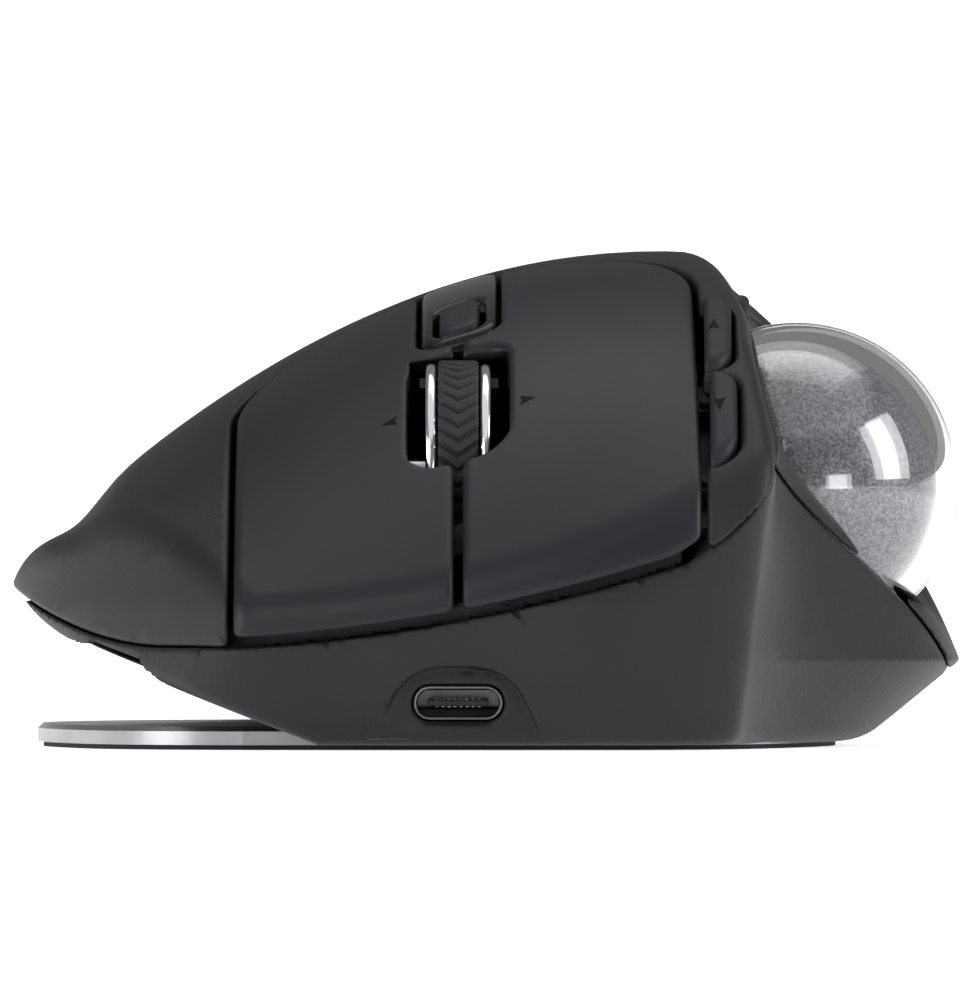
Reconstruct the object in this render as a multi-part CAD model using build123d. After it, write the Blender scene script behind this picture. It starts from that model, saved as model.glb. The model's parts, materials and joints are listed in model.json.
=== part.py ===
from build123d import *
import os
from math import cos, exp, radians, sin, tan

# Right-handed thumb-ball pointing device on a magnetic steel plate.
# Front (lips of the two main buttons, charging port) faces -Y, the palm is at +Y,
# the ball and the thumb are at +X, and the underside of the rubber pad is Z = 0.

# ---------------------------------------------------------------- driving sizes
LENGTH = 132.5
HALF_WIDTH = 50.0
CREST_Z = 51.6                      # highest line of the back of the body
CREST_Y = -2.0                      # where that line runs across the body
CREST_X = 18.0                      # where the arch across the body peaks
ARCH = 0.0073                       # curvature of the arch, 1/mm
TOP_DROP = 3.0                      # casing wall, measured straight down
SIDE_IN = 2.6                       # casing wall, measured across
FRONT_IN = 2.4                      # front wall, measured along Y
PANEL_IN = 2.0                      # thumb panel, measured across
BUTTON_DROP = 2.4                   # main buttons, measured straight down
LIP_SET = 1.2                       # how far the front wall sits behind the button lips
LIP_GAP = 1.0                       # channel under the button lips
MID_X = -2.9                        # wheel, split line and charging port
LEFT_EDGE_X = -25.9                 # outer edge of the right-hand main button
RIGHT_EDGE_X = 22.0                 # outer edge of the left-hand main button
SPLIT = 0.9                         # gap between the two main buttons
EDGE_GAP = 0.6                      # gap round their outer edges

PAD_T = 0.5
PLATE_TOP = 2.4
RECESS_Z = PLATE_TOP + 0.05         # ceiling of the recess that takes the plate
FLOOR_T = 2.0
RIDGE_X = -17.2                     # line on which the body rocks
TILT = 20.0                         # degrees
HOLE_XY = (28.0, -8.0)              # finger hole for pushing the ball out
HOLE_R = 4.6

BALL_R = 17.0
BALL_CORE_R = 14.6
BALL_C = (32.2, -8.0, 27.1)
CUP_R = 17.7
CUP_T = 1.6
BEARING_R = 1.25

WHEEL_C = (MID_X, -38.2, 28.5)
WHEEL_R = 11.5
WHEEL_W = 6.8
TYRE_W = 4.3
SLOT = (-7.9, 2.2, -52.1, -34.3)    # x0, x1, y0, y1 of the wheel opening
STRIP = (-6.8, 1.1, -31.6, -6.5)    # glossy device strip
FRAME_DROP = 5.0                    # inner frame below the outer surface

PORT_Z = 4.9
FAR = 120.0


# ---------------------------------------------------------------- surfaces
def rise(value, centre, width):
    """Smooth step from 0 to 1."""
    return 1.0 / (1.0 + exp(-(value - centre) / width))


def front_line(x):
    """Plan curve of the button lips."""
    return -LENGTH / 2 + 0.004 * (x - 3.0) ** 2


def lip_height(x):
    """Height of the front edge of the top surface."""
    return 17.5 + 0.2 * (x + 3.0) + 0.0039 * (x + 3.0) ** 2


def rear_line(x):
    """Plan curve of the palm end."""
    return LENGTH / 2 - 0.0118 * x * x


def left_line(y):
    """Plan curve of the little-finger side."""
    if y < 6.0:
        return -HALF_WIDTH + 0.01064 * (6.0 - y) ** 1.83
    return -HALF_WIDTH + 0.0036 * (y - 6.0) ** 2


def right_line(y):
    """Plan curve of the thumb side: slim at the front, flaring to the thumb rest."""
    flare = 26.0 + 24.0 * rise(y, -29.0, 9.0)
    return flare - 0.0055 * max(0.0, y - 8.0) ** 2


def arch(x):
    """Section across the crest, with the shallow dip above the finger skirt."""
    return CREST_Z - ARCH * (x - CREST_X) ** 2 - 1.6 * exp(-((x + 42.5) / 3.2) ** 2)


def top(x, y):
    """Height of the top surface."""
    peak = arch(x)
    if y < CREST_Y:
        run = (CREST_Y - y) / (CREST_Y - front_line(x))
        return peak - (peak - lip_height(x)) * run ** 2.1
    run = (y - CREST_Y) / (LENGTH / 2 - CREST_Y)
    return peak - (peak - 8.0) * run ** 2.4


def left_side(y, z):
    return left_line(y) + 0.12 * max(0.0, z - 14.0)


def right_side(y, z):
    """Thumb-side wall, undercut below the tip of the wing."""
    undercut = 0.15 + 1.1 * rise(y, -24.0, 9.0)
    lean = 0.15 - 0.4 * rise(y, -42.0, 5.0)
    slope = undercut if z < 9.0 else lean
    return right_line(y) + slope * (z - 9.0)


def thumb_side(y, z):
    """Hollow that the thumb and the ball sit in."""
    hollow = 27.2 + 26.0 * rise(-z, -20.0, 5.75) - 0.034 * max(0.0, z - 40.0) ** 2
    return hollow + 0.012 * max(0.0, y - 10.0) ** 2


def front_side(x, z):
    """Face of the lips."""
    return front_line(x) + 0.012 * (z - 14.0) ** 2 * (1 if z > 14.0 else 0.3)


def under_front(x, z):
    """Front wall below the lips, leaning in towards the table."""
    return front_line(x) + LIP_SET + 0.28 * max(0.0, 15.0 - z)


def underside(x, y):
    """Bottom edge of the casing: flat, then the sloping facet of the tilted position."""
    run = max(0.0, RIDGE_X - x)
    return 0.55 + 0.39 * run + 3.6 * exp((min(run, 36.0) - 32.0) / 3.2)


def floor_inside(x, y):
    run = max(0.0, RIDGE_X - x)
    return RECESS_Z + FLOOR_T + tan(radians(TILT)) * run


def parting(x, y):
    """Seam between the upper and the lower casing."""
    skirt = 10.6 + 0.022 * min(0.0, x + 33.0) ** 2
    ahead = 1.0 - rise(y, -20.0, 10.0)
    lips = (0.06 * (x + 25.0) + 0.0029 * (x + 25.0) ** 2) * ahead if x > -25.0 else 0.0
    ridge = rise(x, 21.3, 0.9) * (1.0 - rise(y, 30.0, 5.0))
    low = skirt + lips
    return low + ridge * max(0.0, top(x, y) - 2.8 - low)


# ---------------------------------------------------------------- sheets and cuts
X_SPAN = (-56.0, 56.0)
Y_SPAN = (-72.0, 72.0)
Z_SPAN = (-8.0, 60.0)


def spread(first, last, count):
    return [first + (last - first) * i / (count - 1) for i in range(count)]


def sheet(height, place, u_range, v_range, counts=(29, 33)):
    """Smooth face over a grid; place turns (u, v, height) into a point."""
    rows = []
    for u in spread(*u_range, counts[0]):
        rows.append([Vector(*place(u, v, height(u, v))) for v in spread(*v_range, counts[1])])
    return Face.make_surface_from_array_of_points(rows, tol=0.05, min_deg=3, max_deg=3)


def over_xy(surface, direction, counts=(29, 33)):
    """Everything above (+1) or below (-1) a surface z(x, y)."""
    face = sheet(surface, lambda x, y, z: (x, y, z), X_SPAN, Y_SPAN, counts)
    return extrude(face, FAR, (0, 0, direction))


def over_yz(surface, direction):
    """Everything to the right (+1) or left (-1) of a surface x(y, z)."""
    face = sheet(surface, lambda y, z, x: (x, y, z), Y_SPAN, Z_SPAN)
    return extrude(face, FAR, (direction, 0, 0))


def over_xz(surface, direction):
    """Everything behind (+1) or in front (-1) of a surface y(x, z)."""
    face = sheet(surface, lambda x, z, y: (x, y, z), X_SPAN, Z_SPAN, (25, 25))
    return extrude(face, FAR, (0, direction, 0))


def behind_rear():
    """Everything behind the palm end."""
    xs = spread(-54.0, 54.0, 9)
    edge = Spline([(x, rear_line(x)) for x in xs])
    rim = Polyline((54.0, rear_line(54.0)), (54.0, 90.0), (-54.0, 90.0), (-54.0, rear_line(-54.0)))
    return extrude(make_face(Curve() + edge + rim), 70, both=True)


def block(x0, x1, y0, y1, z0, z1):
    return Pos((x0 + x1) / 2, (y0 + y1) / 2, (z0 + z1) / 2) * Box(x1 - x0, y1 - y0, z1 - z0)


def upright(x, y, z0, z1, radius):
    """Vertical cylinder."""
    return Pos(x, y, (z0 + z1) / 2) * Cylinder(radius, z1 - z0)


def rod(radius, start, end):
    """Cylinder from start to end."""
    line = Vector(*end) - Vector(*start)
    return Plane(origin=start, z_dir=line) * extrude(Circle(radius), line.length)


def prism(face, z0=0.0, z1=60.0):
    """Plan face made into an upright solid."""
    return Pos(0, 0, z0) * extrude(face, z1 - z0)


def pill(x0, x1, y0, y1, radius):
    """Rounded rectangle in plan."""
    return Pos((x0 + x1) / 2, (y0 + y1) / 2) * RectangleRounded(x1 - x0, y1 - y0, radius)


TOP = over_xy(top, 1, (43, 33))
UNDER = over_xy(underside, -1)
FLOOR = over_xy(floor_inside, -1)
SEAM = over_xy(parting, -1, (65, 33))
LEFT = over_yz(left_side, -1)
RIGHT = over_yz(right_side, 1)
THUMB = over_yz(thumb_side, 1)
LIP = over_xz(front_side, -1)
WALL = over_xz(under_front, -1)
REAR = behind_rear()
BALL = Vector(*BALL_C)


def hull(drop, side, panel, front, floor):
    """Body inside the sheets, each moved inwards by its wall."""
    body = block(-55, 55, -70, 70, -2, 57)
    body -= Pos(0, 0, -drop) * TOP
    body -= floor
    body -= front
    body -= Pos(side, 0, 0) * LEFT
    body -= Pos(-side, 0, 0) * RIGHT
    body -= Pos(-panel, 0, 0) * THUMB
    return body - Pos(0, -side, 0) * REAR


def layer(region, upper, lower):
    """Part of a region between two depths below the top surface."""
    return (region - Pos(0, 0, -upper) * TOP) & (Pos(0, 0, -lower) * TOP)


OUTSIDE = hull(0, 0, 0, LIP, UNDER)
INSIDE = hull(TOP_DROP, SIDE_IN, PANEL_IN, Pos(0, FRONT_IN, 0) * WALL, FLOOR)
CASING = OUTSIDE - INSIDE
BALL_ROOM = Pos(*BALL_C) * Sphere(BALL_R + 0.6)


# ---------------------------------------------------------------- plan outlines
def button_area(grow_left, grow_right, grow_rear):
    """Plan area of both main buttons together."""
    left = LEFT_EDGE_X - grow_left
    right = RIGHT_EDGE_X + grow_right
    rear = [(x, -10.0 - 0.018 * (x + 2.0) ** 2 + grow_rear) for x in (-20.5, -8.0, 5.0, 16.5)]
    back = Spline([(left + 0.1, rear[0][1] - 5.0), *rear, (right - 0.9, rear[3][1] - 5.0)],
                  tangents=[(0.02, 1), (0, -1)])
    sides = Polyline((right - 0.9, rear[3][1] - 5.0), (right, -60.0), (right, -80.0),
                     (left, -80.0), (left, -60.0), (left + 0.1, rear[0][1] - 5.0))
    return make_face(Curve() + back + sides)


def strip_area(grow):
    return pill(STRIP[0] - grow, STRIP[1] + grow, STRIP[2] - grow, STRIP[3] + grow, 2.4)


def slot_area(grow):
    return pill(SLOT[0] - grow, SLOT[1] + grow, SLOT[2] - grow, SLOT[3] + grow, 3.2)


def side_area(y0, y1, shift, grow):
    """Plan of a side button: straight beside the main button, rounded on its far side."""
    return pill(RIGHT_EDGE_X - 3.6, RIGHT_EDGE_X + 3.2 + shift + grow, y0 - grow, y1 + grow, 2.8)


def plate_area(grow):
    """Plan of the steel plate, scaled about its middle to grow or shrink it."""
    corners = [(-25.0, -51.0), (-36.5, -43.5), (-43.5, -24.0), (-46.8, 2.0), (-42.5, 30.0),
               (-24.0, 52.0), (2.0, 60.0), (23.0, 52.5), (34.5, 32.0), (36.7, 2.0), (30.8, -28.0),
               (24.0, -44.5), (16.0, -51.0)]
    wide = 1.0 + grow / 41.8
    long = 1.0 + grow / 55.5
    points = [(-5.0 + (x + 5.0) * wide, 4.5 + (y - 4.5) * long) for x, y in corners]
    return make_face(Curve() + Spline(points) + Line(points[-1], points[0]))


# ---------------------------------------------------------------- base
POWER_XY = (-4.0, 12.0)


def base_openings(grow):
    """Finger hole and switch window, right through the base."""
    hole = upright(*HOLE_XY, -3, 8, HOLE_R + grow)
    x, y = POWER_XY
    return hole + prism(pill(x - 7 - grow, x + 7 + grow, y - 4 - grow, y + 4 + grow, 3.0), -3, 8)


def base_plate():
    plate = prism(plate_area(0), PAD_T, PLATE_TOP)
    rim = plate.edges().group_by(Axis.Z)[-1]
    return chamfer(rim, 0.5) - base_openings(0)


def base_pad():
    return prism(plate_area(-0.6), 0, PAD_T) - base_openings(0.5)


# ---------------------------------------------------------------- casings
SCREWS = [(-30.0, -15.0, 15.0), (-30.0, 33.0, 14.0), (19.0, 39.0, 12.0), (0.0, 57.0, 10.6)]
POSTS = [(-19.5, -53.0), (12.3, -53.0), (-19.5, -26.0), (12.3, -26.0)]
SWITCH_X = (7.4, -14.0)             # micro switches of the left and the right main button
SWITCH_Y = -50.0
BOARD_Z = 8.0
BOARD_T = 1.2


def ceiling(x):
    """Underside of the floor above the plate."""
    return RECESS_Z + tan(radians(TILT)) * max(0.0, RIDGE_X - x)


def plate_room():
    """Space taken by the plate in the flat and in the tilted position."""
    space = prism(plate_area(0.8), -9.0, RECESS_Z)
    pivot = Pos(RIDGE_X, 0, RECESS_Z)
    return space + pivot * Rot(0, TILT, 0) * Pos(-RIDGE_X, 0, -RECESS_Z) * space


def port_recess():
    """Hooded recess of the charging port, deep at its top and running out at its foot."""
    half_top = 5.4
    half_foot = 7.6
    face = make_face(Polyline((-half_foot, -0.2), (-half_top, 8.4), (half_top, 8.4),
                              (half_foot, -0.2), close=True))
    front = Plane(origin=(MID_X, -60.9, 0), x_dir=(1, 0, 0), z_dir=(0, -1, 0))
    return front * extrude(face, 12)


def port_hole(width, height, y0, y1):
    face = RectangleRounded(width, height, height / 2 - 0.02)
    front = Plane(origin=(MID_X, y1, PORT_Z), x_dir=(1, 0, 0), z_dir=(0, -1, 0))
    return front * extrude(face, y1 - y0)


def lower_bosses():
    parts = [upright(x, y, ceiling(x) + 1.0, z, 3.2) for x, y, z in SCREWS]
    parts += [upright(x, y, ceiling(x) + 1.0, BOARD_Z, 2.0) for x, y in POSTS]
    parts += [upright(x, y, RECESS_Z + 1.0, BOARD_Z, 2.0) for x in (-14.0, 7.5) for y in (-16.5, 19.5)]
    return parts


def lower_shell():
    body = (CASING & SEAM) - Pos(-PANEL_IN, 0, 0) * THUMB
    body -= WALL
    for boss in lower_bosses():
        body += boss
    body += block(MID_X - 9.5, MID_X + 9.5, -60.9, -58.4, 1.2, 9.6)
    body -= plate_room()
    body -= port_recess()
    body -= block(MID_X - 6.2, MID_X + 6.2, -58.4, -53.6, 2.3, 12.0)
    body -= port_hole(9.5, 3.8, -62.0, -58.0)
    for x, y, z in SCREWS:
        body -= upright(x, y, 0, z + 1, 1.25)
        body -= upright(x, y, 0, ceiling(x) + 2.6, 2.2)
    body -= base_openings_inside()
    return body - BALL_ROOM


def base_openings_inside():
    """Finger hole and slider slot through the floor of the casing."""
    x, y = POWER_XY
    slot = block(x - 4.6, x + 4.6, y - 1.7, y + 1.7, 0, 6)
    return slot + upright(*HOLE_XY, 0, 8, HOLE_R)


def upper_shell():
    body = CASING - SEAM
    body -= prism(button_area(EDGE_GAP, 0.9, EDGE_GAP))
    body -= prism(strip_area(0.35))
    body -= prism(side_area(-45.6, -31.0, 0.0, 0.35))
    body -= prism(side_area(-59.6, -47.0, 0.5, 0.35))
    for x, y, z in SCREWS:
        body += layer(upright(x, y, z, 60, 3.0), 1.2, 60)
        body -= upright(x, y, z - 1, z + 7, 1.15)
    body += layer(block(15.0, 18.3, -21.0, -12.0, 30, 60), 3.2, 9.0)
    body += layer(block(15.0, 18.3, -14.0, -12.0, 30, 60), 1.5, 9.0)
    return body - precision_bore(0.3)


def thumb_panel():
    body = (CASING & SEAM) & (Pos(-PANEL_IN, 0, 0) * THUMB)
    body -= WALL
    body -= precision_bore(0.3)
    return body - BALL_ROOM


def precision_bore(grow):
    return rod(PRECISION_R + grow, (20, *PRECISION_YZ), (32, *PRECISION_YZ))


def case_screws():
    group = []
    for x, y, z in SCREWS:
        head = ceiling(x) + 1.1
        group.append(upright(x, y, head, head + 1.4, 2.0) + upright(x, y, head + 1.4, z + 6, 1.1))
    return Compound(group)


def body_magnets():
    """Discs on the floor that hold the plate flat and on the facet that hold it tilted."""
    floor = RECESS_Z + FLOOR_T + 0.05
    group = [upright(x, y, floor, floor + 2, 5) for x, y in ((2, -38), (0, 38))]
    lift = RECESS_Z + FLOOR_T / cos(radians(TILT)) + 0.05
    for y in (-34.0, 12.0):
        disc = Pos(-12.5, y, 1.25) * Cylinder(5, 2)
        group.append(Pos(RIDGE_X, 0, lift) * Rot(0, TILT, 0) * disc)
    return Compound(group)


# ---------------------------------------------------------------- main buttons
HINGE_Y = -5.0
HINGE_Z = 44.0


def main_button(x0, x1, tab_x, post_x):
    """Thin curved key with a lip in front, two hinge tabs behind and a post over its switch."""
    area = button_area(0, 0, 0) & (Pos((x0 + x1) / 2, -40) * Rectangle(x1 - x0, 100))
    area = area - strip_area(0.35) - slot_area(0)
    solid = OUTSIDE & prism(area)
    solid -= Pos(0, 0, LIP_GAP) * SEAM
    core = block(-60, 60, -80, 0, -5, 60)
    core -= Pos(0, 0, -BUTTON_DROP) * TOP
    core -= Pos(0, 1.8, 0) * LIP
    solid -= core
    for x in tab_x:
        solid += layer(block(x - 2.5, x + 2.5, -25.0, -16.0, 20, 60), 1.5, 4.5)
        solid += layer(block(x - 2.5, x + 2.5, -25.0, HINGE_Y, 20, 60), 3.1, 4.5)
    solid += layer(upright(post_x, SWITCH_Y, 16.55, 60, 1.4), 1.2, 40)
    return solid - wheel_room()


def wheel_room():
    """Space that the wheel sweeps as it tilts and sinks."""
    x, y, z = WHEEL_C
    return rod(WHEEL_R + 0.8, (x - 5.0, y, z), (x + 5.0, y, z))


def left_button():
    return main_button(MID_X + SPLIT / 2, 30, (5.5, 12.0), SWITCH_X[0])


def right_button():
    return main_button(-30, MID_X - SPLIT / 2, (-18.0, -11.5), SWITCH_X[1])


def inner_frame():
    """Curved carrier under the buttons, standing on four legs."""
    area = pill(-23.0, 14.5, -56.0, -8.0, 3)
    area -= pill(-14.8, 6.8, -54.5, -31.0, 3)
    area -= pill(-8.0, 2.2, -34.0, -7.0, 2)
    for x in SWITCH_X:
        area -= Pos(x, SWITCH_Y) * Circle(2.4)
    body = layer(prism(area, 0, 60), FRAME_DROP, FRAME_DROP + 1.8)
    for x, y in POSTS:
        body += layer(upright(x, y, BOARD_Z + BOARD_T, 60, 1.9), FRAME_DROP + 0.5, 45)
    return body - wheel_room()


# ---------------------------------------------------------------- small buttons
PRECISION_R = 2.1
PRECISION_YZ = (-17.0, 44.8)
KEY = (-4.9, -0.7, -29.6, -21.3)


def device_panel():
    """Glossy strip behind the wheel, with a dished hole for its key and four pegs."""
    body = layer(OUTSIDE & prism(strip_area(0)), 0, 2.2)
    body -= prism(pill(KEY[0] - 0.5, KEY[1] + 0.5, KEY[2] - 0.5, KEY[3] + 0.5, 1.9))
    body -= upright(MID_X, -12.0, 30, 60, 0.9)
    for x in (-6.1, 0.4):
        for y in (-28.6, -14.0):
            body += layer(upright(x, y, 38.2, 60, 0.6), 1.5, 30)
    return body


def device_button():
    region = prism(pill(*KEY, 1.6))
    return layer(region, -0.25, 3.0)


def status_light():
    return layer(upright(MID_X, -12.0, 39.2, 60, 0.85), 0.05, 40)


def device_board():
    return block(-6.9, 1.2, -29.4, -10.0, 37.2, 38.2)


def tact(x, y, z, height=1.4, size=4.4):
    """Small push switch standing on a board at height z."""
    return block(x - size / 2, x + size / 2, y - size / 2, y + size / 2, z, z + height) + \
        upright(x, y, z + height, z + height + 0.5, 0.9)


def side_button(y0, y1, shift):
    gap_x = RIGHT_EDGE_X + 0.4 + shift
    region = prism(side_area(y0, y1, shift, 0)) - block(0, gap_x, -80, 0, -5, 70)
    return layer(region, -0.7, 2.6) - Pos(-0.5, 0, 0) * THUMB


def forward_button():
    return side_button(-45.6, -31.0, 0.0)


def back_button():
    return side_button(-59.6, -47.0, 0.5)


def precision_button():
    face_x = thumb_side(*PRECISION_YZ) + 0.5
    return rod(PRECISION_R, (21.6, *PRECISION_YZ), (face_x, *PRECISION_YZ))


def precision_switch():
    y, z = PRECISION_YZ
    board = block(18.3, 19.3, y - 4, y + 3.4, z - 3.4, z + 1.5)
    switch = block(19.3, 20.6, y - 2, y + 2, z - 2, z + 1.5)
    return board + switch + rod(0.7, (20.6, y, z), (21.0, y, z))


def side_frame(local):
    """Places a part of the side switch board, which follows the slope of the ridge."""
    return Pos(22.4, -45.3, 29.4) * Rot(29.0, 0, 0) * local


def side_board():
    return side_frame(block(-1.4, 2.2, -15.5, 14.5, 0, 1.0))


def side_switches():
    group = [side_frame(tact(0.4, y, 1.0, 1.6, 3.4)) for y in (-8.8, 8.0)]
    return Compound(group)


# ---------------------------------------------------------------- wheel
PIN_Z = 13.4


def ring(outer, inner, x0, x1):
    x, y, z = WHEEL_C
    return rod(outer, (x0, y, z), (x1, y, z)) - rod(inner, (x0 - 1, y, z), (x1 + 1, y, z))


def wheel_tyre():
    """Rubber band with chevron-like cross grooves."""
    x, y, z = WHEEL_C
    tyre = ring(WHEEL_R, WHEEL_R - 1.6, x - TYRE_W / 2, x + TYRE_W / 2)
    bar = Pos(x, y, z) * Pos(0, 0, WHEEL_R) * Box(TYRE_W + 1, 0.45, 0.8)
    for turn in range(0, 360, 12):
        tyre -= Pos(x, y, z) * Rot(turn, 0, 0) * Pos(-x, -y, -z) * bar
    return tyre


def wheel_hub():
    """Metal rims, thin web and boss in one piece."""
    x, y, z = WHEEL_C
    hub = ring(WHEEL_R - 1.6, WHEEL_R - 3.4, x - WHEEL_W / 2, x + WHEEL_W / 2)
    for side in (-1, 1):
        edge = sorted((x + side * TYRE_W / 2, x + side * WHEEL_W / 2))
        hub += ring(WHEEL_R - 0.35, WHEEL_R - 3.4, *edge)
    hub += ring(WHEEL_R - 3.0, 2.0, x - 0.8, x + 0.8)
    return hub + ring(2.8, 1.25, x - 2.6, x + 2.6)


def wheel_axle():
    x, y, z = WHEEL_C
    return rod(1.25, (x - 6.4, y, z), (x + 6.4, y, z))


def wheel_cradle():
    """Fork that holds the axle and rocks sideways on a pin along the body."""
    x, y, z = WHEEL_C
    fork = block(x - 6.5, x + 6.5, y - 5.5, y + 5.5, 14.3, 16.1)
    for side in (-1, 1):
        x0, x1 = sorted((x + side * 5.3, x + side * 6.5))
        fork += block(x0, x1, y - 2.8, y + 2.8, 15.0, z + 2.2)
    fork += rod(1.0, (x, y - 9.0, PIN_Z), (x, y + 9.0, PIN_Z))
    fork += block(x - 0.8, x + 0.8, y - 5.5, y + 5.5, PIN_Z, 15.0)
    return fork - rod(1.30, (x - 8, y, z), (x + 8, y, z))


def wheel_encoder():
    x, y, z = WHEEL_C
    return block(x - 9.6, x - 6.5, y - 2.8, y + 2.8, z - 6.5, z + 2.0)


def wheel_carrier():
    """Tray that carries the pin and sinks when the wheel is pressed."""
    x, y, z = WHEEL_C
    tray = block(x - 7.0, x + 7.0, y - 9.6, y + 9.6, 11.2, 12.2)
    for side in (-1, 1):
        y0, y1 = sorted((y + side * 7.6, y + side * 9.0))
        tray += block(x - 3.0, x + 3.0, y0, y1, 12.0, 15.4)
    return tray - rod(1.05, (x, y - 12, PIN_Z), (x, y + 12, PIN_Z))


def tilt_switches():
    x, y, z = WHEEL_C
    return Compound([block(x + d - 1.5, x + d + 1.5, y - 1.5, y + 1.5, 12.2, 13.4) for d in (-5.5, 5.5)])


def middle_switch():
    return tact(MID_X, WHEEL_C[1], BOARD_Z + BOARD_T, 0.9)


# ---------------------------------------------------------------- ball
OPENING = Vector(0.754, 0.0, 0.657)
SENSOR = Vector(-0.78, 0.30, -0.55)


def ball_shell():
    """Clear outer layer of the ball."""
    return Pos(*BALL_C) * (Sphere(BALL_R) - Sphere(BALL_CORE_R + 0.05))


def ball_core():
    return Pos(*BALL_C) * Sphere(BALL_CORE_R)


def bearing_points():
    """Three rests spread round the bottom of the cup."""
    around = Plane(origin=BALL_C, z_dir=OPENING * -1)
    reach = BALL_R + BEARING_R + 0.05
    low = radians(52.0)
    points = []
    for turn in (30, 150, 270):
        spin = radians(turn)
        local = Vector(sin(low) * cos(spin), sin(low) * sin(spin), cos(low)) * reach
        points.append(around.from_local_coords(local))
    return points


def ball_bearings():
    return Compound([Location(p) * Sphere(BEARING_R) for p in bearing_points()])


def ball_cup():
    """Bowl under the ball, open towards the thumb, with rests, sensor window and finger hole."""
    cup = Pos(*BALL_C) * (Sphere(CUP_R + CUP_T) - Sphere(CUP_R))
    cup -= Pos(-PANEL_IN - 0.05, 0, 0) * THUMB
    cup -= Pos(-SIDE_IN - 0.05, 0, 0) * RIGHT
    cup -= upright(*HOLE_XY, 0, BALL_C[2], HOLE_R - 0.6)
    cup -= rod(3.2, BALL, BALL + SENSOR * 24)
    cup -= precision_bore(0.5)
    for dy in (-9.5, 9.5):
        foot = upright(HOLE_XY[0] - 6.5, HOLE_XY[1] + dy, RECESS_Z + FLOOR_T + 0.05, 17.0, 1.6)
        cup += foot - Pos(*BALL_C) * Sphere(CUP_R + 0.4)
    for point in bearing_points():
        out = (point - BALL).normalized()
        cup -= rod(BEARING_R + 0.02, BALL + out * 16, BALL + out * 21)
    return cup


def sensor_stack(distance, depth, width, height):
    plane = Plane(origin=BALL + SENSOR * distance, x_dir=(0.36, 0.93, 0), z_dir=SENSOR)
    return plane * extrude(Rectangle(width, height), depth)


def sensor_lens():
    return rod(2.6, BALL + SENSOR * 18.2, BALL + SENSOR * 20.4)


def sensor_chip():
    return sensor_stack(20.4, 1.8, 9.0, 8.0)


def sensor_board():
    return sensor_stack(22.2, 1.0, 15.0, 12.0)


# ---------------------------------------------------------------- electronics
def main_board():
    board = block(-16.0, 9.5, -19.0, 21.5, BOARD_Z, BOARD_Z + BOARD_T)
    return board


def main_chips():
    top_z = BOARD_Z + BOARD_T
    return Compound([block(-10, -3, -8, -1, top_z, top_z + 1.0), block(0, 5, 4, 9, top_z, top_z + 0.9),
                     block(-13, -9, 12, 16, top_z, top_z + 0.8)])


def front_board():
    return block(-22.0, 14.4, -56.5, -22.0, BOARD_Z, BOARD_Z + BOARD_T)


def ribbon_cable():
    return block(-20.0, -9.0, -24.0, -17.0, BOARD_Z + BOARD_T, BOARD_Z + BOARD_T + 0.3)


def snap_switch(x):
    """Micro switch of a main button, with its plunger."""
    z = BOARD_Z + BOARD_T
    body = block(x - 2.9, x + 2.9, SWITCH_Y - 5.0, SWITCH_Y + 7.5, z, z + 6.3)
    return body + upright(x, SWITCH_Y, z + 6.3, z + 6.7, 0.9)


def left_switch():
    return snap_switch(SWITCH_X[0])


def right_switch():
    return snap_switch(SWITCH_X[1])


def device_switch():
    return tact(MID_X, -25.5, 38.2, 1.4, 3.6)


def battery():
    cell = block(-20.0, 12.5, 23.5, 52.5, 7.0, 12.4)
    return fillet(cell.edges().filter_by(Axis.Y), 2.2)


def battery_tray():
    tray = block(-15.0, 12.0, 24.0, 52.0, RECESS_Z + FLOOR_T + 0.05, 6.95)
    return tray - block(-13.5, 10.5, 25.5, 50.5, RECESS_Z, 8)


def usb_shell():
    """Metal sleeve of the charging port."""
    return port_hole(9.3, 3.6, -60.3, -53.7) - port_hole(8.5, 2.8, -61.0, -54.5)


def usb_tongue():
    return port_hole(6.2, 0.7, -59.6, -54.5)


def usb_board():
    return block(MID_X - 7.0, MID_X + 7.0, -53.6, -44.0, 4.9, 5.9)


def power_switch():
    x, y = POWER_XY
    return block(x - 4.5, x + 4.5, y - 2.5, y + 2.5, 5.6, BOARD_Z)


def power_slider():
    x, y = POWER_XY
    knob = block(x - 3.0, x + 1.0, y - 1.5, y + 1.5, 1.0, 4.8)
    return knob + block(x - 5.0, x + 3.0, y - 2.4, y + 2.4, 4.5, 5.5)


# ---------------------------------------------------------------- output
NODES = [base_plate, base_pad, lower_shell, upper_shell, thumb_panel, case_screws, body_magnets,
         left_button, right_button, inner_frame, device_panel, device_button, status_light,
         device_board, device_switch, forward_button, back_button, side_board, side_switches,
         precision_button, precision_switch, wheel_tyre, wheel_hub, wheel_axle, wheel_cradle,
         wheel_encoder, wheel_carrier, tilt_switches, middle_switch, ball_shell, ball_core,
         ball_cup, ball_bearings, sensor_lens, sensor_chip, sensor_board, main_board, main_chips,
         front_board, ribbon_cable, left_switch, right_switch, battery, battery_tray, usb_shell,
         usb_tongue, usb_board, power_switch, power_slider]

os.makedirs("parts", exist_ok=True)
for node in NODES:
    export_step(node(), f"parts/{node.__name__}.step")
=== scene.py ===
import json
from math import cos, pi, radians, sin, tan

import bmesh
import bpy
import numpy as np
import openvdb
from mathutils import Matrix, Vector


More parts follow.
